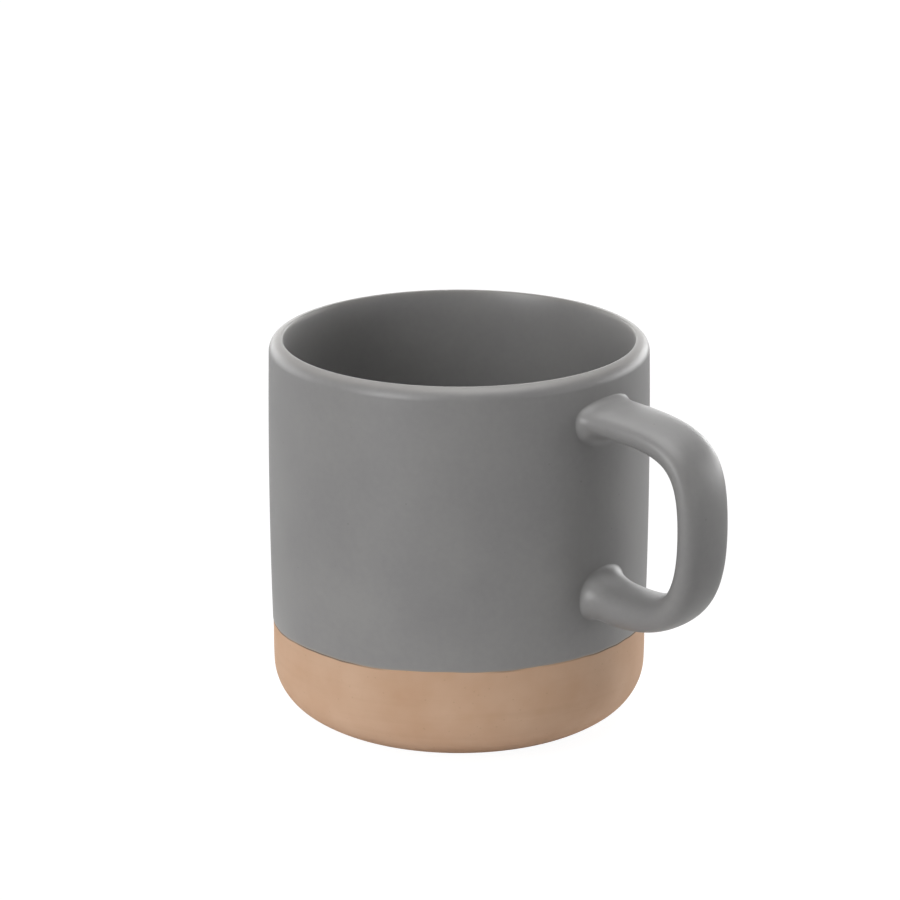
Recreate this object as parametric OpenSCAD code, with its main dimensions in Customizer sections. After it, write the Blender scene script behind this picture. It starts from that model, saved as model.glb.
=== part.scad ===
// Stoneware mug with a round heel, a looped strap handle and a half dip of satin grey glaze.
// The cup's axis is +Z, its foot stands on z = 0, and the handle reaches out along +X.
// The clay cup and the clay handle are two pieces. The handle is stuck on at its two roots with
// slip, and three coats of glaze cover the pair down to the dip line.

/* [Cup] */
// Widest outside diameter, over the glaze
belly_d = 88.36; // [74:0.02:104]
// Height above the table at which the cup is widest
belly_h = 66; // [56:1:78]
// Radius of the long curve that the wall follows from the heel to the lip
wall_arc_r = 1400; // [700:50:1800]
// Height from the table to the top of the lip
cup_h = 91.5; // [84:0.5:115]
// Thickness of the wall at its widest line, over both coats of glaze
wall_t = 3.98; // [3.3:0.02:6]
// Outer rounding of the lip, over the glaze
lip_r = 3; // [1.5:0.1:3.5]
// Height of the glazed floor inside, above the table
floor_h = 7; // [5:0.5:12]
// Radius where the glazed inside wall turns into the floor
well_r = 12; // [6:1:20]

/* [Heel and foot] */
// Height at which the wall turns into the heel
heel_h = 14; // [12.5:0.5:22]
// Radius of the heel's tight curve
heel_r = 12.8; // [8:0.2:14]
// Radius of the slower curve from the heel in to the foot
base_r = 24.3; // [18:0.1:34]
// Depth ground off the base to make the flat foot
foot_cut = 0.5; // [0.2:0.1:1.2]
// Width of the ring that stands on the table
foot_w = 4; // [2.5:0.5:8]
// Depth of the hollow inside the foot ring
recess_h = 1.6; // [0.8:0.1:2.6]

/* [Handle] */
// Distance from the wall's widest line out to the middle of the grip
handle_reach = 28.4; // [22:0.2:38]
// Distance from the top of the lip down to the middle of the upper root
upper_root_drop = 10.3; // [8.5:0.1:14]
// Height of the middle of the lower root above the table
lower_root_h = 38.2; // [36:0.1:42]
// Angle at which the upper arm slopes down from the wall
upper_slope = 3; // [0:0.5:10]
// Angle at which the lower arm slopes down from the wall
lower_slope = 11.5; // [0:0.5:14]
// Width of the strap at the upper root
upper_strap_w = 17; // [13:0.2:20]
// Width of the strap at the middle of the grip
grip_strap_w = 14.6; // [12:0.2:19]
// Width of the strap at the lower root
lower_strap_w = 13.6; // [11:0.2:18]
// Thickness of the upper arm
upper_strap_t = 6.4; // [5:0.1:9]
// Thickness of the strap at the middle of the grip
grip_strap_t = 6.3; // [5:0.1:10]
// Thickness of the lower arm
lower_strap_t = 9.1; // [6:0.1:11]
// Corner fullness of the strap's section, where 2 is an ellipse
strap_corner = 2.5; // [2:0.1:4]

/* [Handle roots] */
// How far each root flares on its back and sides
root_flare = 1.3; // [0.6:0.1:2]
// Length along the arm of that flare
root_flare_l = 2.6; // [1.5:0.1:5]
// How far the upper root flares into the finger gap
upper_web = 4.3; // [1.5:0.1:6]
// How far the lower root flares into the finger gap
lower_web = 3; // [1.5:0.1:6]
// Length along the arm of the flares into the finger gap
web_l = 8; // [4:0.5:10]
// Thickness of the bed of slip inside each root
slip_t = 0.3; // [0.1:0.05:0.5]
// Width of the rim of handle clay that closes round each bed of slip
slip_rim = 1.2; // [0.6:0.1:2]

/* [Glaze] */
// Thickness of every coat of glaze
glaze_t = 0.2; // [0.15:0.05:0.4]
// Height of the dip line above the table
dip_h = 25; // [16:0.2:29]
// Tilt of the dip line, from the cup being held a little askew
dip_tilt = 0.4; // [0:0.1:1]
// Compass angle of the side where the dip line is highest
dip_turn = 41; // [0:1:90]

/* [Hidden] */
// Cuts run this far past what they cut
overrun = 1;
// Centres are rounded to this step, so that tangent curves overlap by a hair and never part
fine = 0.0001;
// Clearance that keeps a faceted face clear of the true curve it lies on
seat = 0.02;
// Fineness of the turned forms and of the handle
turn_fn = 180;
arc_fn = 720;
section_steps = 32;
flare_steps = 5;
strap_steps = 26;

// Lengths of the curve arms that shape the loop, as shares of the loop's reach and height
upper_arm_share = 0.79;
upper_grip_share = 0.87;
lower_grip_share = 0.84;
lower_arm_share = 0.8;
// Height of the grip's outermost point, as a share of the way from the lower root to the upper
grip_share = 0.495;
// Rings that fill each root's seat inside its slip bed, as shares of the bed's outline
seat_ring_shares = [0.62, 0.3];

// Clay wall: a long arc whose centre lies far across the axis
clay_r = belly_d / 2 - glaze_t;
wall_c = [clay_r - wall_arc_r, belly_h];
heel_a = asin((heel_h - belly_h) / wall_arc_r);

function up(v) = ceil(v / fine) * fine;
function down(v) = floor(v / fine) * fine;

// Heel and base: two arcs, each tangent to the one before
heel_in = wall_arc_r - heel_r;
heel_c = [up(wall_c.x + heel_in * cos(heel_a)), wall_c.y + heel_in * sin(heel_a)];
base_z = base_r - foot_cut;
base_c = [down(heel_c.x - sqrt(pow(base_r - heel_r, 2) - pow(base_z - heel_c.y, 2))), base_z];
base_a = atan2(heel_c.y - base_c.y, heel_c.x - base_c.x);
foot_r = base_c.x + sqrt(pow(base_r, 2) - pow(base_z, 2));
recess_r = foot_r - foot_w;

// The mouth is straight above the widest line. Below it the inside runs parallel to the outside
// and turns into the floor with one tangent curve.
bore_r = belly_d / 2 - wall_t;
bore_arc_r = bore_r - wall_c.x;
well_z = floor_h + well_r;
well_c = [up(wall_c.x + sqrt(pow(bore_arc_r - well_r, 2) - pow(well_z - belly_h, 2))), well_z];
well_a = atan2(well_c.y - wall_c.y, well_c.x - wall_c.x);

// Lip: an outer and an inner rounding that meet at the top
lip_wall = wall_c.x + sqrt(pow(wall_arc_r + glaze_t, 2) - pow(cup_h - belly_h, 2)) - bore_r;
lip_out = min(lip_r, lip_wall - 2 * glaze_t - slip_t);
lip_arc_r = wall_arc_r + glaze_t - lip_out;
lip_a = asin((cup_h - lip_out - belly_h) / lip_arc_r);
lip_c = [up(wall_c.x + lip_arc_r * cos(lip_a)), cup_h - lip_out];
lip_in = lip_c.x - bore_r;

// Radius of the wall at a height, and how far out along +X the wall lies at a place beside the axis
function wall_at(z, skin = 0) = wall_c.x + sqrt(pow(wall_arc_r + skin, 2) - pow(z - belly_h, 2));
function wall_x(y, z, skin = 0) = sqrt(pow(wall_at(z, skin), 2) - y * y);

// Loop of the handle: two curves that meet at the grip's outermost point
upper_z = cup_h - upper_root_drop;
lower_z = lower_root_h;
grip_z = lower_z + grip_share * (upper_z - lower_z);
grip_x = clay_r + handle_reach;
upper_arm = upper_arm_share * handle_reach;
lower_arm = lower_arm_share * handle_reach;
upper_curve = [
    [wall_at(upper_z), upper_z],
    [wall_at(upper_z), upper_z] + upper_arm * [cos(upper_slope), -sin(upper_slope)],
    [grip_x, grip_z + upper_grip_share * (upper_z - grip_z)],
    [grip_x, grip_z]
];
lower_curve = [
    [grip_x, grip_z],
    [grip_x, grip_z - lower_grip_share * (grip_z - lower_z)],
    [wall_at(lower_z), lower_z] + lower_arm * [cos(lower_slope), -sin(lower_slope)],
    [wall_at(lower_z), lower_z]
];

function curve(p, t) =
    pow(1 - t, 3) * p[0] + 3 * t * pow(1 - t, 2) * p[1] + 3 * t * t * (1 - t) * p[2] + pow(t, 3) * p[3];
function slope(p, t) =
    pow(1 - t, 2) * (p[1] - p[0]) + 2 * t * (1 - t) * (p[2] - p[1]) + t * t * (p[3] - p[2]);

// Middle line of the strap, its direction and its outward side, for t from 0 to 2
function loop_at(t) = t <= 1 ? curve(upper_curve, t) : curve(lower_curve, t - 1);
function loop_dir(t) = let(d = t <= 1 ? slope(upper_curve, t) : slope(lower_curve, t - 1)) d / norm(d);
function loop_out(t) = let(d = loop_dir(t)) [-d.y, d.x];

// Half sizes of the strap along the loop
function blend(a, b, c, t) = t <= 1 ? a + (b - a) * t * (2 - t) : b + (c - b) * pow(t - 1, 2);
function half_w(t) = blend(upper_strap_w, grip_strap_w, lower_strap_w, t) / 2;
function half_t(t) = blend(upper_strap_t, grip_strap_t, lower_strap_t, t) / 2;

// Section of the strap: a full-cornered oval of half width a and half thickness b
function full(v, p) = sign(v) * pow(abs(v), p);
function oval(s, a, b) = [a * full(sin(s), 2 / strap_corner), b * full(cos(s), 2 / strap_corner)];
function oval_normal(s, a, b) =
    let(p = 2 - 2 / strap_corner, n = [full(sin(s), p) / a, full(cos(s), p) / b]) n / norm(n);

// A root flares as a quarter ellipse. Its height and length grow towards the finger gap.
function gap_side(s) = pow(max(0, -cos(s)), 2);
function flare_h(s, web) = root_flare + (web - root_flare) * gap_side(s);
function flare_l(s) = root_flare_l + (web_l - root_flare_l) * gap_side(s);

// One point of a root: turn runs from 0 on the wall to 90 where the plain strap begins
function root_t(s, turn, low) =
    let(step = flare_l(s) * (1 - cos(turn)) / (3 * (low ? lower_arm : upper_arm)))
    low ? 2 - step : step;
function root_point(s, turn, low, skin) =
    let(
        t = root_t(s, turn, low),
        grown = flare_h(s, low ? lower_web : upper_web) * (1 - sin(turn)),
        o = oval(s, half_w(t), half_t(t)) + grown * [sin(s), cos(s)],
        n = skin * sin(turn) * oval_normal(s, half_w(t), half_t(t)),
        c = loop_at(t) + (o.y + n.y) * loop_out(t),
        root = loop_at(low ? 2 : 0) + (o.y + n.y) * loop_out(low ? 2 : 0)
    )
    [c.x + cos(turn) * (wall_x(o.x, c.y) + seat + skin - root.x), o.x + n.x, c.y];
function strap_point(s, t, skin) =
    let(
        o = oval(s, half_w(t), half_t(t)) + skin * oval_normal(s, half_w(t), half_t(t)),
        c = loop_at(t) + o.y * loop_out(t)
    )
    [c.x, o.x, c.y];

// Rings of points from the upper root round the loop to the lower root
section_angles = [for (i = [0 : section_steps - 1]) i * 360 / section_steps];
flare_turns = [for (k = [0 : flare_steps]) 90 * k / flare_steps];
strap_from = web_l / (3 * upper_arm);
strap_to = 2 - web_l / (3 * lower_arm);
function loop_rings(skin) = concat(
    [for (turn = flare_turns) [for (s = section_angles) root_point(s, turn, false, skin)]],
    [for (k = [1 : strap_steps]) let(t = strap_from + (strap_to - strap_from) * k / (strap_steps + 1))
        [for (s = section_angles) strap_point(s, t, skin)]],
    [for (k = [flare_steps : -1 : 0]) [for (s = section_angles) root_point(s, flare_turns[k], true, skin)]]
);

// Outline of a root on the wall, in the plane across the arm, and the smaller outline of its slip bed
function root_outline(low) = [for (s = section_angles) let(p = root_point(s, 0, low, 0)) [p.y, p.z]];
function outline_mid(o) = [0, (max([for (p = o) p.y]) + min([for (p = o) p.y])) / 2];
function outline_half(o) = max([for (p = o) p.x]);
function shrink(o, share) = [for (p = o) outline_mid(o) + share * (p - outline_mid(o))];
function bed_outline(low) = let(o = root_outline(low)) shrink(o, 1 - slip_rim / outline_half(o));
function on_wall(o, skin) = [for (p = o) [wall_x(p.x, p.y, skin) + seat, p.x, p.y]];

// Rings that close a root: its rim, the step into the slip bed and the hollow seat against the slip
function seat_rings(low) = let(bed = bed_outline(low)) concat(
    [on_wall(bed, 0), on_wall(bed, slip_t)],
    [for (share = seat_ring_shares) on_wall(shrink(bed, share), slip_t)]
);
function seat_point(low) = on_wall([outline_mid(bed_outline(low))], slip_t)[0];

// Faces between ring after ring, each of n points
function band(n, rings, start = 0) = [
    for (k = [0 : rings - 2]) for (i = [0 : n - 1])
        let(a = start + k * n + i, b = start + k * n + (i + 1) % n)
        each [[a, b, b + n], [a, b + n, a + n]]
];
function fan(n, start, tip, flip) = [
    for (i = [0 : n - 1]) let(a = start + i, b = start + (i + 1) % n) flip ? [b, a, tip] : [a, b, tip]
];

// A pie slice of a circle, between two angles less than half a turn apart
module slice(c, r, a0, a1) {
    far = r / cos((a1 - a0) / 4) + overrun;
    intersection() {
        translate(c) circle(r = r, $fn = arc_fn);
        polygon([c, for (a = [a0, (a0 + a1) / 2, a1]) c + far * [cos(a), sin(a)]]);
    }
}

// All inside one of the wall's long curves, from one height to another
module wall_band(r, low, high) {
    intersection() {
        translate(wall_c) circle(r = r, $fn = arc_fn);
        translate([0, low]) square([belly_d, high - low]);
    }
}

// Half section of all that lies inside the cup's outside, grown by a skin over the clay.
// Left of the lip's top it runs on upwards, so that the hollow can cut it.
module outer_form(skin) {
    r = wall_arc_r + skin;
    difference() {
        union() {
            wall_band(r, belly_h + r * sin(heel_a), belly_h + r * sin(lip_a));
            translate(heel_c) circle(r = heel_r + skin, $fn = arc_fn);
            slice(base_c, base_r + skin, -90, base_a);
            square([base_c.x, base_c.y]);
            translate(lip_c) circle(r = lip_out - glaze_t + skin, $fn = arc_fn);
            translate([0, belly_h]) square([lip_c.x, cup_h + overrun - belly_h]);
        }
        translate([0, -cup_h]) square([belly_d, cup_h]);
    }
}

// Half section of the space in the cup, made smaller by a skin over the clay
module hollow(skin) {
    inset = glaze_t - skin;
    r = bore_arc_r + inset;
    top = cup_h + 2 * overrun;
    translate([0, floor_h - inset]) square([well_c.x, well_r]);
    translate(well_c) circle(r = well_r + inset, $fn = arc_fn);
    wall_band(r, belly_h + r * sin(well_a), belly_h + overrun);
    translate([0, belly_h]) square([bore_r + inset, top - belly_h]);
    difference() {
        translate([0, cup_h - lip_in]) square([lip_c.x, top - cup_h + lip_in]);
        translate([lip_c.x, cup_h - lip_in]) circle(r = lip_in - inset, $fn = arc_fn);
    }
}

// Shallow hollow inside the foot ring
module recess() {
    translate([0, -overrun]) square([recess_r, overrun]);
    square([recess_r - recess_h, recess_h]);
    slice([recess_r - recess_h, 0], recess_h, 0, 90);
}

// A straight block along the arm, with the outline of a root
module root_block(outline) {
    translate([clay_r / 2, 0, 0]) rotate([90, 0, 90]) linear_extrude(clay_r) polygon(outline);
}

// All that lies below the tilted dip line
module below_dip() {
    rotate([0, 0, dip_turn]) rotate([0, -dip_tilt, 0])
        translate([-belly_d, -belly_d, dip_h - cup_h]) cube([2 * belly_d, 2 * belly_d, cup_h]);
}

// A bed of slip follows the clay wall behind and the handle's hollow seat in front
module slip_bed(low) {
    difference() {
        intersection() {
            root_block(bed_outline(low));
            rotate_extrude($fn = turn_fn) outer_form(slip_t);
        }
        rotate_extrude($fn = turn_fn) outer_form(0);
    }
}

module clay_cup() {
    color("#b8957a") rotate_extrude($fn = turn_fn) difference() {
        outer_form(0);
        hollow(0);
        recess();
    }
}

module clay_handle() {
    n = section_steps;
    loop = loop_rings(0);
    top = seat_rings(false);
    low = seat_rings(true);
    rings = concat([for (k = [len(top) - 1 : -1 : 0]) top[k]], loop, low);
    points = concat([for (ring = rings) each ring], [seat_point(false), seat_point(true)]);
    tip = len(rings) * n;
    color("#b8957a") polyhedron(
        points,
        concat(band(n, len(rings)), fan(n, 0, tip, true), fan(n, tip - n, tip + 1, false)),
        convexity = 6
    );
}

module upper_slip() {
    color("#cdb59c") slip_bed(false);
}

module lower_slip() {
    color("#cdb59c") slip_bed(true);
}

module outer_glaze() {
    color("#7c7d7b") difference() {
        rotate_extrude($fn = turn_fn) difference() {
            outer_form(glaze_t);
            outer_form(0);
        }
        below_dip();
        root_block(root_outline(false));
        root_block(root_outline(true));
    }
}

module inner_glaze() {
    color("#6f706e") rotate_extrude($fn = turn_fn) difference() {
        hollow(0);
        hollow(glaze_t);
    }
}

module handle_glaze() {
    n = section_steps;
    outside = loop_rings(glaze_t);
    inside = loop_rings(0);
    rings = concat(outside, [for (k = [len(inside) - 1 : -1 : 0]) inside[k]]);
    count = len(rings);
    ends = [
        for (i = [0 : n - 1]) let(a = (count - 1) * n + i, b = (count - 1) * n + (i + 1) % n)
            each [[a, b, (i + 1) % n], [a, (i + 1) % n, i]]
    ];
    points = [for (ring = rings) each ring];
    color("#7c7d7b") polyhedron(points, concat(band(n, count), ends), convexity = 8);
}

clay_cup();
clay_handle();
upper_slip();
lower_slip();
outer_glaze();
inner_glaze();
handle_glaze();
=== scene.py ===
import math
from types import SimpleNamespace

import bpy
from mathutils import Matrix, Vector, noise


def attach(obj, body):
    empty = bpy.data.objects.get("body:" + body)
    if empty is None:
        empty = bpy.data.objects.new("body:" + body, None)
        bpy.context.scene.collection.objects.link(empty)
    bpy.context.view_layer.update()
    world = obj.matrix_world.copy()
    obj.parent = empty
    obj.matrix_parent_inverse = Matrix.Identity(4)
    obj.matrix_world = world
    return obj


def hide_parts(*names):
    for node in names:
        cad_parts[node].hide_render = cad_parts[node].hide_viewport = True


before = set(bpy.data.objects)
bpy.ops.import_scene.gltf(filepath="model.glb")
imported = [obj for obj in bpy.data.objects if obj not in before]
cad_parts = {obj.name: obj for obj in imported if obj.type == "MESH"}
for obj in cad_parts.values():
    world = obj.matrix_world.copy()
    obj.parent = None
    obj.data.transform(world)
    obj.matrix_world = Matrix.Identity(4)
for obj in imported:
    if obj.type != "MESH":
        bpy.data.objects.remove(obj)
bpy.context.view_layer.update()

# Sizes are in millimetres, as a potter would give them, and turned to metres on use
MM = 0.001

# Cup, over the glaze
BELLY_R = 44.18
BELLY_H = 66.0
WALL_ARC_R = 1400.0
CUP_H = 91.5
WALL = 3.98
LIP_R = 3.0
FLOOR_H = 7.0
WELL_R = 12.0
# Height over which the lip's inner edge eases into the bore
LIP_EASE = 6.5

# Heel and foot, in bare clay
HEEL_H = 14.0
HEEL_R = 12.8
BASE_R = 24.3
FOOT_CUT = 0.5
FOOT_W = 4.0
RECESS_H = 1.6
# A ring of points this far in from the foot ring's inner edge, and from its outer edge, keeps both crisp
FOOT_EDGE_IN = 0.12
FOOT_EDGE_OUT = 0.15

# Coat of glaze and the line that it was dipped to
GLAZE = 0.2
DIP_H = 25.0
DIP_TILT = math.radians(0.4)
DIP_TURN = math.radians(41)
# The thin edge of the coat ran down this far below the full coat
DIP_RUN = 0.5
# The glaze rolls over from nothing to its full coat within this height
DIP_ROLL = 0.3
# Height of the thin, warm edge of the coat above the dip line
DIP_THIN_H = 2.5 * DIP_ROLL
# Waver of the dip line: how high its long swings and its short ones are, and how close together
SLOW_WAVER = 0.35
FAST_WAVER = 0.12
SLOW_SWINGS = 2.3
FAST_SWINGS = 11.0
# Near the dip line the outside of the wall lies further from the axis than this
OUTSIDE_R = BELLY_R - 1.0

# The glaze is also thin on the crest of the lip. It starts to thin this far below the top, and by this
# far below it has thinned by this share of what it does at the dip line.
CREST_H = 1.6
CREST_FULL_H = 0.2
CREST_SHARE = 0.25

# The bare clay stands fuller than the clay under the glaze, which was sponged down for the dip: by this
# much up to the dip line, and by this much more round the heel. Both fade out down to the foot.
CLAY_SWELL = 0.1
HEEL_SWELL = 0.16
# The heel's extra begins to ease this far above the heel and is gone this far below the dip line
SWELL_TOP = 2.0
SWELL_END = 1.0
# The bare wall's first ring of points stands this far above the heel
ABOVE_HEEL = 0.4
# The first two rings of points under the coat stand this far above each other, from the dip line
UNDER_COAT = 1.0

# Painted shadow: a thin dark line painted on the clay right under the coat's edge, where the glaze's step
# shades it. It begins this far down, and is full in the upper half of this height.
PAINTED_SHADOW_FADE = 0.4
PAINTED_SHADOW_H = 0.2
# It is broken into stretches about this long, with some of half the length. It is painted strongest on
# the two sides at DIP_TURN and across from it, which the camera sees as the cup's left and right edges.
# It shows where the sum of both passes the first of these shares, and in full from the second on.
PAINTED_SHADOW_LONG = 14.0
PAINTED_SHADOW_SHORT_SHARE = 0.3
PAINTED_SHADOW_FROM = 0.2
PAINTED_SHADOW_FULL = 0.9

# Handle: the reach of its middle line from the wall, and where and how steeply its roots leave the wall
REACH = 28.4
UPPER_DROP = 10.3
LOWER_H = 38.2
UPPER_SLOPE = math.radians(3)
LOWER_SLOPE = math.radians(11.5)
# The strap's width and thickness in clay, at the upper root, the grip and the lower root
STRAP_W = (17.0, 14.6, 13.6)
STRAP_T = (6.4, 6.3, 9.1)
# How much fuller the strap's oval is at its corners than an ellipse
FULLNESS_SHARE = 0.14
# Height of the grip between the two roots, and the pull of each end of the two curves that meet there:
# at the roots a share of the reach, at the grip a share of the height to the root
GRIP_SHARE = 0.495
UPPER_ARM = 0.79
UPPER_GRIP = 0.87
LOWER_GRIP = 0.84
LOWER_ARM = 0.8
# A curve leaves its end at this many times its arm
END_PACE = 3
# Flare of each root: how far it spreads over the wall and how far out it begins
FLARE = 1.3
FLARE_L = 2.6
# The same towards the finger gap
UPPER_WEB = 4.3
LOWER_WEB = 3.0
WEB_L = 8.0
# The coat's lower edge sinks this far into the clay, and the handle's edges stand this far off the wall
SEAT = 0.02

# Fineness of the meshes, round the cup and the strap and along them
TURN_STEPS = 288
SECTION_STEPS = 72
STRAP_STEPS = 96
FLARE_STEPS = 14
RECESS_STEPS = 8
BASE_STEPS = 22
HEEL_STEPS = 24
BARE_STEPS = 10
COVERED_STEPS = 14
COVERED_LIP_STEPS = 10
ROLL_STEPS = 6
COAT_STEPS = 34
COAT_LIP_STEPS = 18
EASE_STEPS = 16
THROAT_STEPS = 8
BORE_STEPS = 16
WELL_STEPS = 20
# Rings of points on the foot's hollow and on the floor, as shares of their radius. The smallest all but
# closes on the axis.
RECESS_RINGS = (0.003, 0.3, 0.6, 0.85)
FLOOR_RINGS = (0.75, 0.5, 0.25, 0.1, 0.003)
# The wall's rings crowd towards the lower end of each stretch by this power
CROWDING = 1.6


def ramp(value, low, high):
    """0 below low, 1 above high and smooth between them."""
    share = min(1.0, max(0.0, (value - low) / (high - low)))
    return share * share * (3 - 2 * share)


def arc(centre, radius, start, end, steps):
    """Points of an arc in the half section, from one angle to another."""
    points = []
    for i in range(steps + 1):
        angle = start + (end - start) * i / steps
        points.append((centre[0] + radius * math.cos(angle), centre[1] + radius * math.sin(angle)))
    return points


def cup_curves():
    """Centres, radii and angles of the arcs that the cup's half section is made of."""
    wall = (BELLY_R - GLAZE - WALL_ARC_R, BELLY_H)
    heel_a = math.asin((HEEL_H - BELLY_H) / WALL_ARC_R)
    heel_arc = WALL_ARC_R - HEEL_R
    heel = (wall[0] + heel_arc * math.cos(heel_a), wall[1] + heel_arc * math.sin(heel_a))
    base_z = BASE_R - FOOT_CUT
    base_x = heel[0] - math.sqrt((BASE_R - HEEL_R) ** 2 - (base_z - heel[1]) ** 2)
    foot_a = math.asin(-base_z / BASE_R)
    bore_r = BELLY_R - WALL
    bore_arc = bore_r - wall[0]
    well_z = FLOOR_H + WELL_R
    well_x = wall[0] + math.sqrt((bore_arc - WELL_R) ** 2 - (well_z - BELLY_H) ** 2)
    lip_arc = WALL_ARC_R + GLAZE - LIP_R
    lip_a = math.asin((CUP_H - LIP_R - BELLY_H) / lip_arc)
    return SimpleNamespace(
        wall=wall,
        heel=heel,
        heel_a=heel_a,
        base=(base_x, base_z),
        base_a=math.atan2(heel[1] - base_z, heel[0] - base_x),
        foot_a=foot_a,
        foot_r=base_x + BASE_R * math.cos(foot_a),
        bore_r=bore_r,
        bore_arc=bore_arc,
        well=(well_x, well_z),
        well_a=math.atan2(well_z - wall[1], well_x - wall[0]),
        lip=(wall[0] + lip_arc * math.cos(lip_a), CUP_H - LIP_R),
        lip_a=lip_a,
    )


CUP = cup_curves()


def wall_at(z, skin=0.0):
    """Radius of the clay wall at a height, with a skin laid on."""
    return CUP.wall[0] + math.sqrt((WALL_ARC_R + skin) ** 2 - (z - BELLY_H) ** 2)


def dip_line(turn):
    """Height of the coat's edge: a slightly tilted ring, with the small waver of a wet edge."""
    tilt = BELLY_R * math.tan(DIP_TILT) * math.cos(turn - DIP_TURN)
    place = Vector((math.cos(turn), math.sin(turn), 0.0))
    waver = SLOW_WAVER * noise.noise(place * SLOW_SWINGS) + FAST_WAVER * noise.noise(place * FAST_SWINGS)
    return DIP_H - DIP_RUN + tilt + waver


def mesh_object(name, verts, faces):
    """A smooth mesh, given in millimetres."""
    mesh = bpy.data.meshes.new(name)
    mesh.from_pydata([(x * MM, y * MM, z * MM) for x, y, z in verts], [], faces)
    mesh.validate()
    for polygon in mesh.polygons:
        polygon.use_smooth = True
    made = bpy.data.objects.new(name, mesh)
    bpy.context.collection.objects.link(made)
    return made


def turned(name, profile_at):
    """Turns a half section round +Z. profile_at gives the section's points at a compass angle."""
    verts, faces = [], []
    count = len(profile_at(0.0))
    for step in range(TURN_STEPS):
        turn = 2 * math.pi * step / TURN_STEPS
        verts += [(r * math.cos(turn), r * math.sin(turn), z) for r, z in profile_at(turn)]
        here, there = step * count, (step + 1) % TURN_STEPS * count
        faces += [(here + i, there + i, there + i + 1, here + i + 1) for i in range(count - 1)]
    return mesh_object(name, verts, faces)


def outer_wall(skin, low, high, steps):
    """Points up the outside wall between two heights, closer together near the lower one."""
    points = []
    for i in range(steps + 1):
        z = low + (high - low) * (i / steps) ** CROWDING
        points.append((wall_at(z, skin), z))
    return points


def lip_ease(inset):
    """Points of the lip's inner rounding, a quarter ellipse from its crest down to the bore."""
    wide, tall = CUP.lip[0] - CUP.bore_r - inset, LIP_EASE - inset
    unit = arc((0.0, 0.0), 1.0, math.pi / 2, math.pi, EASE_STEPS)
    return [(CUP.lip[0] + x * wide, CUP_H - LIP_EASE + z * tall) for x, z in unit]


def inner_section(skin):
    """Points from the crest of the lip down the inside and over the floor to the axis."""
    inset = GLAZE - skin
    points = lip_ease(inset)
    bore, throat = points[-1]
    for i in range(1, THROAT_STEPS + 1):
        points.append((bore, throat + (BELLY_H - throat) * i / THROAT_STEPS))
    points += arc(CUP.wall, CUP.bore_arc + inset, 0.0, CUP.well_a, BORE_STEPS)[1:]
    points += arc(CUP.well, WELL_R + inset, CUP.well_a, -math.pi / 2, WELL_STEPS)[1:]
    return points + [(CUP.well[0] * share, FLOOR_H - inset) for share in FLOOR_RINGS]


def foot_section():
    """Half section of the hollow in the foot and of the ring that the mug stands on."""
    recess = CUP.foot_r - FOOT_W
    points = [(recess * share, RECESS_H) for share in RECESS_RINGS]
    points += arc((recess - RECESS_H, 0.0), RECESS_H, math.pi / 2, 0.0, RECESS_STEPS)
    return points + [(recess + FOOT_EDGE_IN, 0.0), (CUP.foot_r - FOOT_EDGE_OUT, 0.0)]


def bare_section(line):
    """Half section of the bare clay from the foot ring up to the dip line, with its swell."""
    plain = arc(CUP.base, BASE_R, CUP.foot_a, CUP.base_a, BASE_STEPS)
    plain += arc(CUP.heel, HEEL_R, CUP.base_a, CUP.heel_a, HEEL_STEPS)[1:]
    plain += outer_wall(0.0, HEEL_H + ABOVE_HEEL, line - PAINTED_SHADOW_FADE, BARE_STEPS)
    plain += [(wall_at(z), z) for z in (line - PAINTED_SHADOW_H, line - PAINTED_SHADOW_H / 2, line)]
    points = []
    for r, z in plain:
        swell = CLAY_SWELL + HEEL_SWELL * (1 - ramp(z, HEEL_H + SWELL_TOP, line - SWELL_END))
        points.append((r + swell * ramp(z, 0.0, HEEL_H), z))
    return points


def clay_section(turn):
    """Half section of the clay cup, from the middle of the foot's hollow round to its floor."""
    line = dip_line(turn)
    points = foot_section() + bare_section(line)
    points.append((wall_at(line + UNDER_COAT), line + UNDER_COAT))
    points += outer_wall(0.0, line + 2 * UNDER_COAT, CUP.lip[1], COVERED_STEPS)
    points += arc(CUP.lip, LIP_R - GLAZE, CUP.lip_a, math.pi / 2, COVERED_LIP_STEPS)
    return points + inner_section(0.0)[1:]


def glaze_section(turn):
    """Half section of the coat on the cup, from the rolled edge at the dip line to the floor."""
    line = dip_line(turn)
    points = []
    for i in range(ROLL_STEPS + 1):
        angle = math.pi / 2 * i / ROLL_STEPS
        z = line + DIP_ROLL * (1 - math.cos(angle))
        points.append((wall_at(z, (GLAZE + SEAT) * math.sin(angle) - SEAT), z))
    lip_start = CUP.lip[1] + LIP_R * math.sin(CUP.lip_a)
    points += outer_wall(GLAZE, line + 2 * DIP_ROLL, lip_start, COAT_STEPS)
    points += arc(CUP.lip, LIP_R, CUP.lip_a, math.pi / 2, COAT_LIP_STEPS)[1:]
    return points + inner_section(GLAZE)[1:]


def mark(piece, name, value_at):
    """Stores one number for each vertex, worked out from its place in millimetres."""
    layer = piece.data.attributes.new(name, "FLOAT", "POINT")
    values = [value_at(vertex.co / MM) for vertex in piece.data.vertices]
    layer.data.foreach_set("value", values)


def on_outside(place):
    """Near the dip line, 1 on the outside of the wall and 0 on its inside."""
    return ramp(math.hypot(place.x, place.y), CUP.bore_r, OUTSIDE_R)


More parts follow.
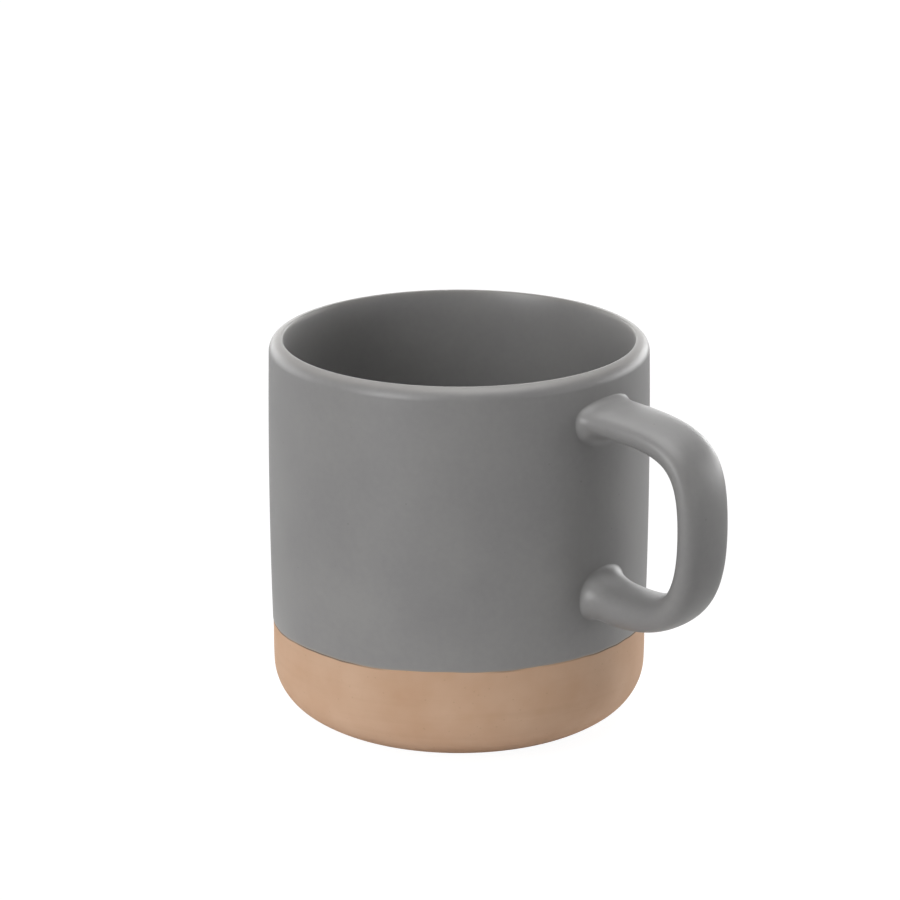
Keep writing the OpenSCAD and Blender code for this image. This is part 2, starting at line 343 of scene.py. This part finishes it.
def painted_shadow_at(place):
    """How dark the painted shadow makes the clay, in a thin line right under the glaze's edge."""
    turn = math.atan2(place.y, place.x)
    line = dip_line(turn)
    side_weight = math.cos(turn - DIP_TURN) ** 2
    wander = noise.noise(place / PAINTED_SHADOW_LONG) + PAINTED_SHADOW_SHORT_SHARE * noise.noise(place * 2 / PAINTED_SHADOW_LONG)
    broken = ramp(side_weight + wander, PAINTED_SHADOW_FROM, PAINTED_SHADOW_FULL)
    return broken * on_outside(place) * ramp(place.z, line - PAINTED_SHADOW_FADE, line - PAINTED_SHADOW_H / 2)


def thin_at(place):
    """How thin the coat is: on the crest of the lip and along the dip line."""
    crest = ramp(place.z, CUP_H - CREST_H, CUP_H - CREST_FULL_H)
    line = dip_line(math.atan2(place.y, place.x))
    edge = 1 - ramp(place.z, line, line + DIP_THIN_H)
    return max(CREST_SHARE * crest, edge * on_outside(place))


class StrapHandle:
    """The handle's middle line, its strap section and the flares of its roots, with the coat laid on."""

    def __init__(self):
        self.upper_arm, self.lower_arm = UPPER_ARM * REACH, LOWER_ARM * REACH
        top, low = CUP_H - UPPER_DROP, LOWER_H
        middle = low + GRIP_SHARE * (top - low)
        upper, lower = Vector((wall_at(top), top)), Vector((wall_at(low), low))
        grip = Vector((BELLY_R - GLAZE + REACH, middle))
        from_upper = Vector((math.cos(UPPER_SLOPE), -math.sin(UPPER_SLOPE)))
        from_lower = Vector((math.cos(LOWER_SLOPE), -math.sin(LOWER_SLOPE)))
        above_grip = Vector((0.0, UPPER_GRIP * (top - middle)))
        below_grip = Vector((0.0, LOWER_GRIP * (middle - low)))
        self.curves = (
            (upper, upper + self.upper_arm * from_upper, grip + above_grip, grip),
            (grip, grip - below_grip, lower + self.lower_arm * from_lower, lower),
        )

    def at(self, way):
        """A point of the middle line and the unit vector to the outer side, for way from 0 to 2."""
        curve, done = (self.curves[0], way) if way <= 1 else (self.curves[1], way - 1)
        start, start_pull, end_pull, end = curve
        left = 1 - done
        place = left ** 3 * start + 3 * done * left ** 2 * start_pull
        place = place + 3 * done ** 2 * left * end_pull + done ** 3 * end
        ahead = left ** 2 * (start_pull - start) + 2 * done * left * (end_pull - start_pull)
        ahead = (ahead + done ** 2 * (end - end_pull)).normalized()
        return place, Vector((-ahead.y, ahead.x))

    def off_middle(self, way, height):
        """The point of the middle line there, moved to the outer side by a height."""
        middle, out = self.at(way)
        return middle + height * out

    def half(self, sizes, way):
        """Half of a strap size that changes from the upper root through the grip to the lower root."""
        upper, grip, lower = sizes
        if way <= 1:
            return (upper + (grip - upper) * way * (2 - way)) / 2
        return (grip + (lower - grip) * (way - 1) ** 2) / 2

    def section(self, angle, way, skin):
        """A point of the strap's full-cornered oval, off the middle line, and the skin laid on it."""
        wide, thick = self.half(STRAP_W, way), self.half(STRAP_T, way)
        full, sine, cosine = FULLNESS_SHARE, math.sin(angle), math.cos(angle)
        side = wide * sine * (1 + full * cosine ** 2)
        out = thick * cosine * (1 + full * sine ** 2)
        faces_side = thick * sine * (1 + full * (sine ** 2 - 2 * cosine ** 2))
        faces_out = wide * cosine * (1 + full * (cosine ** 2 - 2 * sine ** 2))
        return Vector((side, out)), skin * Vector((faces_side, faces_out)).normalized()

    def strap(self, angle, way):
        """A point of the plain strap between the two roots."""
        place, coat = self.section(angle, way, GLAZE)
        middle = self.off_middle(way, place.y + coat.y)
        return middle.x, place.x + coat.x, middle.y

    def root(self, angle, turn, low):
        """A point of a root. turn is 0 on the wall and a quarter turn where the plain strap begins."""
        gap = max(0.0, -math.cos(angle)) ** 2
        web, arm = (LOWER_WEB, self.lower_arm) if low else (UPPER_WEB, self.upper_arm)
        spread = FLARE + (web - FLARE) * gap
        length = FLARE_L + (WEB_L - FLARE_L) * gap
        step = length * (1 - math.cos(turn)) / (END_PACE * arm)
        way, end = (2 - step, 2.0) if low else (step, 0.0)
        place, coat = self.section(angle, way, GLAZE * math.sin(turn))
        place = place + spread * (1 - math.sin(turn)) * Vector((math.sin(angle), math.cos(angle)))
        middle = self.off_middle(way, place.y + coat.y)
        start = self.off_middle(end, place.y + coat.y)
        wall = math.sqrt(wall_at(middle.y, GLAZE) ** 2 - place.x ** 2) + SEAT
        return middle.x + math.cos(turn) * (wall - start.x), place.x + coat.x, middle.y


def strap_rings():
    """Rings of points round the strap, from the upper root on the wall to the lower one."""
    handle = StrapHandle()
    around = [2 * math.pi * i / SECTION_STEPS for i in range(SECTION_STEPS)]
    turns = [math.pi / 2 * k / FLARE_STEPS for k in range(FLARE_STEPS + 1)]
    first = WEB_L / (END_PACE * handle.upper_arm)
    last = 2 - WEB_L / (END_PACE * handle.lower_arm)
    rings = [[handle.root(angle, turn, False) for angle in around] for turn in turns]
    for k in range(1, STRAP_STEPS):
        way = first + (last - first) * k / STRAP_STEPS
        rings.append([handle.strap(angle, way) for angle in around])
    return rings + [[handle.root(angle, turn, True) for angle in around] for turn in reversed(turns)]


def lay_edges_flush(coat, ring_count):
    """Gives the first and last ring the wall's own normals, so that the coat runs on without a seam."""
    normals = [tuple(vertex.normal) for vertex in coat.data.vertices]
    for ring in (0, ring_count - 1):
        for i in range(ring * SECTION_STEPS, (ring + 1) * SECTION_STEPS):
            place = coat.data.vertices[i].co
            normals[i] = tuple(Vector((place.x, place.y, 0.0)).normalized())
    coat.data.normals_split_custom_set_from_vertices(normals)


def linear(hex_code):
    """An sRGB colour such as 8A8A86 as the linear values that the shaders take."""
    channels = [int(hex_code[i:i + 2], 16) / 255 for i in (0, 2, 4)]
    return [c / 12.92 if c <= 0.04045 else ((c + 0.055) / 1.055) ** 2.4 for c in channels] + [1.0]


def per_metre(size_mm):
    """Texture scale that repeats once in this many millimetres."""
    return 1 / (size_mm * MM)


def add(tree, kind, inputs=None, **settings):
    """Adds a node with its settings. Each input is a plain value or the socket that feeds it."""
    node = tree.nodes.new("ShaderNode" + kind)
    for key, value in settings.items():
        setattr(node, key, value)
    for key, value in (inputs or {}).items():
        if isinstance(value, bpy.types.NodeSocket):
            tree.links.new(value, node.inputs[key])
        else:
            node.inputs[key].default_value = value
    return node


def new_material(name):
    """An empty material, and the place on the object that its patterns follow."""
    material = bpy.data.materials.new(name)
    material.use_nodes = True
    tree = material.node_tree
    tree.nodes.clear()
    place = add(tree, "TexCoord").outputs["Object"]
    return material, tree, place


# Satin glaze: a grey magnesia glaze that the pot was dipped in and fired. The eye reads a soft, stony
# grey with a broad sheen, a faint mottle, a few iron specks and thinner, warmer edges.
GLAZE_GREY = "898888"
GLAZE_PALE = "91908F"
GLAZE_THIN = "9A958D"
IRON_SPECK = "646261"
# Its patterns in millimetres. The mottle and the specks are drawn about twice as coarse as on the pot,
# because finer ones don't show in the render.
GLAZE_CLOUD_MM = 24.0
GLAZE_MOTTLE_MM = 1.6
GLAZE_PEEL_MM = 4.0
GLAZE_GRAIN_MM = 0.5
GLAZE_SPECK_MM = 5.5
# How strong the mottle is beside the broad clouds, and the sums of both that are all grey and all pale
MOTTLE_SHARE = 0.4
ALL_GREY = 0.5
ALL_PALE = 0.9
# Edge and core of an iron speck, as shares of the specks' spacing, and how dark the core is
SPECK_EDGE = 0.05
SPECK_CORE = 0.025
SPECK_SHARE = 0.35
# Depths of its soft ripple and of its grain, and how strongly each shows
GLAZE_PEEL_DEPTH_MM = 0.05
GLAZE_GRAIN_DEPTH_MM = 0.02
PEEL_SHARE = 0.25
GRAIN_SHARE = 0.06
# Its roughness goes from the first of these to the second between these two values of the mottle
SATIN_LEAST = 0.38
SATIN_MOST = 0.44
MOTTLE_LOW = 0.3
MOTTLE_HIGH = 0.7
# How strongly the glass bends light, and the thin, slightly smoother skin that gives the broad sheen
GLAZE_IOR = 1.52
SHEEN_SHARE = 0.15
SHEEN_ROUGH = 0.36


def satin_glaze():
    material, tree, place = new_material("satin_magnesia_glaze_dipped")
    cloud = add(tree, "TexNoise", {"Vector": place, "Scale": per_metre(GLAZE_CLOUD_MM), "Detail": 3.0})
    mottle = add(tree, "TexNoise", {"Vector": place, "Scale": per_metre(GLAZE_MOTTLE_MM), "Detail": 3.0})
    both = add(tree, "Math", {
        0: mottle.outputs["Fac"], 1: MOTTLE_SHARE, 2: cloud.outputs["Fac"],
    }, operation="MULTIPLY_ADD")
    spread = add(tree, "MapRange", {"Value": both.outputs[0], "From Min": ALL_GREY, "From Max": ALL_PALE})
    body = add(tree, "Mix", {
        "Factor": spread.outputs[0], "A": linear(GLAZE_GREY), "B": linear(GLAZE_PALE),
    }, data_type="RGBA")
    thin = add(tree, "Attribute", attribute_name="thin")
    warmed = add(tree, "Mix", {
        "Factor": thin.outputs["Fac"], "A": body.outputs["Result"], "B": linear(GLAZE_THIN),
    }, data_type="RGBA")
    cells = add(tree, "TexVoronoi", {"Vector": place, "Scale": per_metre(GLAZE_SPECK_MM)})
    speck = add(tree, "MapRange", {
        "Value": cells.outputs["Distance"], "From Min": SPECK_EDGE, "From Max": SPECK_CORE,
        "To Max": SPECK_SHARE,
    })
    colour = add(tree, "Mix", {
        "Factor": speck.outputs[0], "A": warmed.outputs["Result"], "B": linear(IRON_SPECK),
    }, data_type="RGBA")
    peel = add(tree, "TexNoise", {"Vector": place, "Scale": per_metre(GLAZE_PEEL_MM), "Detail": 1.0})
    grain = add(tree, "TexNoise", {"Vector": place, "Scale": per_metre(GLAZE_GRAIN_MM), "Detail": 2.0})
    soft = add(tree, "Bump", {
        "Height": peel.outputs["Fac"], "Strength": PEEL_SHARE, "Distance": GLAZE_PEEL_DEPTH_MM * MM,
    })
    fine = add(tree, "Bump", {
        "Height": grain.outputs["Fac"], "Strength": GRAIN_SHARE, "Distance": GLAZE_GRAIN_DEPTH_MM * MM,
        "Normal": soft.outputs["Normal"],
    })
    rough = add(tree, "MapRange", {
        "Value": mottle.outputs["Fac"], "From Min": MOTTLE_LOW, "From Max": MOTTLE_HIGH,
        "To Min": SATIN_LEAST, "To Max": SATIN_MOST,
    })
    shader = add(tree, "BsdfPrincipled", {
        "Base Color": colour.outputs["Result"], "Roughness": rough.outputs[0], "IOR": GLAZE_IOR,
        "Coat Weight": SHEEN_SHARE, "Coat Roughness": SHEEN_ROUGH, "Normal": fine.outputs["Normal"],
    })
    add(tree, "OutputMaterial", {"Surface": shader.outputs["BSDF"]})
    return material


# Bare stoneware: buff clay, turned on the wheel with a metal rib, wiped with a sponge and fired. The eye
# reads a dry, sandy tan in soft patches, with faint level streaks from turning and grains of darker grog.
# A thin, broken dark line of painted shadow runs on the clay right under the glaze's edge.
CLAY_TAN = "C69F80"
CLAY_PALE = "D5B499"
CLAY_STREAK = "BA9476"
# Dark colour painted on the clay as shadow under the glaze's edge
CLAY_PAINTED_SHADOW = "6E6055"
GROG = "A48468"
# Its patterns in millimetres. The sandy grain is drawn about twice as coarse as on the pot, so that it
# shows in the render.
CLAY_CLOUD_MM = 13.0
CLAY_GRAIN_MM = 0.4
CLAY_STREAK_LONG_MM = 40.0
CLAY_STREAK_TALL_MM = 2.4
GROG_MM = 2.1
# Values of the clouds at which the clay is all tan and all pale buff
ALL_TAN = 0.2
ALL_BUFF = 0.8
# Values at which a turning streak begins and is full, and how dark it is then
STREAK_FROM = 0.5
STREAK_FULL = 0.8
STREAK_SHARE = 0.25
# Edge and core of a grain of grog, as shares of the grains' spacing, and how dark the core is
GROG_EDGE = 0.12
GROG_CORE = 0.06
GROG_SHARE = 0.25
# Depths of the streaks and of the sandy grain, and how strongly each shows
STREAK_DEPTH_MM = 0.06
SAND_DEPTH_MM = 0.03
RIBBED_SHARE = 0.2
SANDY_SHARE = 0.35
# Dry and nearly without a sheen
CLAY_ROUGH = 0.82
CLAY_IOR = 1.5


def bare_stoneware():
    material, tree, place = new_material("buff_stoneware_turned")
    cloud = add(tree, "TexNoise", {"Vector": place, "Scale": per_metre(CLAY_CLOUD_MM), "Detail": 3.0})
    patch = add(tree, "MapRange", {"Value": cloud.outputs["Fac"], "From Min": ALL_TAN, "From Max": ALL_BUFF})
    body = add(tree, "Mix", {
        "Factor": patch.outputs[0], "A": linear(CLAY_TAN), "B": linear(CLAY_PALE),
    }, data_type="RGBA")
    long, tall = per_metre(CLAY_STREAK_LONG_MM), per_metre(CLAY_STREAK_TALL_MM)
    level = add(tree, "Mapping", {"Vector": place, "Scale": (long, long, tall)})
    streak = add(tree, "TexNoise", {"Vector": level.outputs[0], "Scale": 1.0, "Detail": 3.0})
    lines = add(tree, "MapRange", {
        "Value": streak.outputs["Fac"], "From Min": STREAK_FROM, "From Max": STREAK_FULL,
        "To Max": STREAK_SHARE,
    })
    streaked = add(tree, "Mix", {
        "Factor": lines.outputs[0], "A": body.outputs["Result"], "B": linear(CLAY_STREAK),
    }, data_type="RGBA")
    cells = add(tree, "TexVoronoi", {"Vector": place, "Scale": per_metre(GROG_MM)})
    speck = add(tree, "MapRange", {
        "Value": cells.outputs["Distance"], "From Min": GROG_EDGE, "From Max": GROG_CORE,
        "To Max": GROG_SHARE,
    })
    grogged = add(tree, "Mix", {
        "Factor": speck.outputs[0], "A": streaked.outputs["Result"], "B": linear(GROG),
    }, data_type="RGBA")
    # Painted shadow: the thin dark line under the glaze's edge, mixed into the clay's colour
    painted_shadow = add(tree, "Attribute", attribute_name="painted_shadow")
    colour = add(tree, "Mix", {
        "Factor": painted_shadow.outputs["Fac"], "A": grogged.outputs["Result"], "B": linear(CLAY_PAINTED_SHADOW),
    }, data_type="RGBA")
    grain = add(tree, "TexNoise", {"Vector": place, "Scale": per_metre(CLAY_GRAIN_MM), "Detail": 3.0})
    ribbed = add(tree, "Bump", {
        "Height": streak.outputs["Fac"], "Strength": RIBBED_SHARE, "Distance": STREAK_DEPTH_MM * MM,
    })
    sandy = add(tree, "Bump", {
        "Height": grain.outputs["Fac"], "Strength": SANDY_SHARE, "Distance": SAND_DEPTH_MM * MM,
        "Normal": ribbed.outputs["Normal"],
    })
    shader = add(tree, "BsdfPrincipled", {
        "Base Color": colour.outputs["Result"], "Roughness": CLAY_ROUGH, "IOR": CLAY_IOR,
        "Normal": sandy.outputs["Normal"],
    })
    add(tree, "OutputMaterial", {"Surface": shader.outputs["BSDF"]})
    return material


# Studio card: matt, white under the mug and mid grey further out, so that little light comes up from
# below, with a glow that lifts it to a plain pale ground where the camera sees it
CARD_WHITE = "F2F2F2"
CARD_GREY = "B2B2B2"
CARD_GLOW_WHITE = "FFFFFF"
# The white ends this far from the mug's axis, and the grey is full from this far on
CARD_WHITE_R = 46.0
CARD_GREY_R = 120.0
# The card's tooth, its depth and how strongly it shows
CARD_TOOTH_MM = 6.0
CARD_TOOTH_DEPTH_MM = 0.1
CARD_TOOTH_SHARE = 0.05
# How much of the card gives way to the glow in the camera's view, and how bright the glow is
CARD_LIFT_SHARE = 0.8
CARD_GLOW = 1.19


def studio_card():
    material, tree, place = new_material("matt_studio_card")
    tooth = add(tree, "TexNoise", {"Vector": place, "Scale": per_metre(CARD_TOOTH_MM), "Detail": 2.0})
    soft = add(tree, "Bump", {
        "Height": tooth.outputs["Fac"], "Strength": CARD_TOOTH_SHARE, "Distance": CARD_TOOTH_DEPTH_MM * MM,
    })
    out = add(tree, "VectorMath", {0: place}, operation="LENGTH")
    grey = add(tree, "MapRange", {
        "Value": out.outputs["Value"], "From Min": CARD_WHITE_R * MM, "From Max": CARD_GREY_R * MM,
    })
    shade = add(tree, "Mix", {
        "Factor": grey.outputs[0], "A": linear(CARD_WHITE), "B": linear(CARD_GREY),
    }, data_type="RGBA")
    card = add(tree, "BsdfDiffuse", {"Color": shade.outputs["Result"], "Normal": soft.outputs["Normal"]})
    glow = add(tree, "Emission", {"Color": linear(CARD_GLOW_WHITE), "Strength": CARD_GLOW})
    ray = add(tree, "LightPath")
    lift = add(tree, "Math", {0: ray.outputs["Is Camera Ray"], 1: CARD_LIFT_SHARE}, operation="MULTIPLY")
    both = add(tree, "MixShader", {0: lift.outputs[0], 1: card.outputs[0], 2: glow.outputs[0]})
    add(tree, "OutputMaterial", {"Surface": both.outputs[0]})
    return material


def dress(piece, material, nodes):
    """Gives a piece its finish, rides it on the mug and hides the solids that it stands for."""
    piece.data.materials.append(material)
    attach(piece, "root")
    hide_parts(*nodes)


def bare_clay_cup(clay):
    """The cup's clay, in view below the dip line, with painted shadow along it."""
    cup = turned("bare_clay_cup", clay_section)
    mark(cup, "painted_shadow", painted_shadow_at)
    dress(cup, clay, ["clay_cup"])


def cup_coat(glaze):
    """The coat on the cup, outside, over the lip and inside."""
    coat = turned("cup_coat", glaze_section)
    mark(coat, "thin", thin_at)
    dress(coat, glaze, ["outer_glaze", "inner_glaze"])


def handle_coat(glaze):
    """The coat on the handle, one swept strap whose roots flare out and lie tangent on the wall."""
    rings = strap_rings()
    faces = []
    for k in range(len(rings) - 1):
        for i in range(SECTION_STEPS):
            here, there = k * SECTION_STEPS + i, k * SECTION_STEPS + (i + 1) % SECTION_STEPS
            faces.append((here, here + SECTION_STEPS, there + SECTION_STEPS, there))
    coat = mesh_object("handle_coat", [place for ring in rings for place in ring], faces)
    lay_edges_flush(coat, len(rings))
    mark(coat, "thin", lambda place: 0.0)
    dress(coat, glaze, ["handle_glaze"])


def clay_in_handle(clay):
    """The clay and the slip under the handle's coat stay the solids, in the clay's own finish."""
    for node in ("clay_handle", "upper_slip", "lower_slip"):
        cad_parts[node].data.materials.clear()
        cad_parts[node].data.materials.append(clay)


def build_mug():
    clay, glaze = bare_stoneware(), satin_glaze()
    bare_clay_cup(clay)
    cup_coat(glaze)
    handle_coat(glaze)
    clay_in_handle(clay)


# Camera of the photo: how far it stands round from the front and up, how far it is from the point that
# it looks at, and how far beside the mug's axis and above its foot that point is
CAMERA_TURN = math.radians(41.0)
CAMERA_TILT = math.radians(16.909)
CAMERA_AWAY = 1366.8
AIM_SIDE = -2.128
AIM_H = 64.211
# Its focal length and the width of its picture in pixels, on a sensor of this width
FOCAL_PX = 5886.8
IMAGE_PX = 900
SENSOR_MM = 36.0
# It sees from this near to this far
NEAR_M = 0.05
FAR_M = 50.0


def towards(turn, tilt):
    """Unit vector from the mug to a place this far round from the front and this far up."""
    return Vector((math.sin(turn) * math.cos(tilt), -math.cos(turn) * math.cos(tilt), math.sin(tilt)))


def stand(name, data, place, back):
    """Stands a camera or a light at a place in metres, facing away from its back."""
    thing = bpy.data.objects.new(name, data)
    bpy.context.collection.objects.link(thing)
    thing.location = place
    thing.rotation_mode = "QUATERNION"
    thing.rotation_quaternion = (-back).to_track_quat("-Z", "Y")
    return thing


def build_camera():
    data = bpy.data.cameras.new("photo_camera")
    data.sensor_width = SENSOR_MM
    data.lens = SENSOR_MM * FOCAL_PX / IMAGE_PX
    data.clip_start = NEAR_M
    data.clip_end = FAR_M
    back = towards(CAMERA_TURN, CAMERA_TILT)
    aim = Vector((AIM_SIDE * math.cos(CAMERA_TURN), AIM_SIDE * math.sin(CAMERA_TURN), AIM_H))
    bpy.context.scene.camera = stand("photo_camera", data, (aim + CAMERA_AWAY * back) * MM, back)


# Soft light. Each box: name, degrees to the right of the camera, degrees up, metres away, width and
# height in metres, and watts
SOFTBOXES = (
    ("key_left", -43, 15, 1.4, 0.6, 0.8, 9.6),
    ("key_high", -40, 38, 1.4, 0.8, 0.6, 1.4),
    ("overhead", -20, 85, 1.3, 1.6, 1.6, 2.8),
    ("above_right", 60, 78, 1.3, 1.0, 1.0, 7.4),
    ("behind_above", 180, 60, 1.3, 1.4, 1.0, 6.1),
    ("backdrop", 180, 8, 1.6, 2.0, 0.8, 11.3),
    ("rim_right", 127, 4, 1.3, 1.4, 0.7, 12.4),
    ("rim_left", -125, 6, 1.3, 1.4, 0.8, 7.8),
    ("low_right", 60, 5, 1.3, 0.8, 0.6, 1.8),
)
# The boxes look at the mug's axis, this far above the card
LIGHT_AIM_H = 50.0
# The sky is white where the camera sees it, and a dimmer, even fill for the mug
SKY_WHITE = "FFFFFF"
SKY_TINT = "FDFDFF"
SKY_FILL = 0.01
# Half the width of the card
CARD_HALF = 3000.0


def softbox(name, turn, tilt, away, width, height, power_w):
    """An area light that looks at the mug. turn is counted from the camera, positive to its right."""
    data = bpy.data.lights.new(name, "AREA")
    data.shape = "RECTANGLE"
    data.size = width
    data.size_y = height
    data.energy = power_w
    back = towards(CAMERA_TURN + math.radians(turn), math.radians(tilt))
    stand(name, data, Vector((0, 0, LIGHT_AIM_H * MM)) + away * back, back)


def build_floor():
    corners = [(x * CARD_HALF, y * CARD_HALF, 0) for x, y in ((-1, -1), (1, -1), (1, 1), (-1, 1))]
    floor = mesh_object("studio_floor", corners, [(0, 1, 2, 3)])
    floor.data.materials.append(studio_card())


def build_sky():
    world = bpy.data.worlds.new("studio")
    world.use_nodes = True
    tree = world.node_tree
    tree.nodes.clear()
    seen = add(tree, "Background", {"Color": linear(SKY_WHITE), "Strength": 1.0})
    fill = add(tree, "Background", {"Color": linear(SKY_TINT), "Strength": SKY_FILL})
    ray = add(tree, "LightPath")
    both = add(tree, "MixShader", {
        0: ray.outputs["Is Camera Ray"], 1: fill.outputs[0], 2: seen.outputs[0],
    })
    add(tree, "OutputWorld", {"Surface": both.outputs[0]})
    bpy.context.scene.world = world


def build_studio():
    build_floor()
    build_sky()
    for box in SOFTBOXES:
        softbox(*box)
    bpy.context.scene.view_settings.view_transform = "Standard"


build_mug()
build_camera()
build_studio()
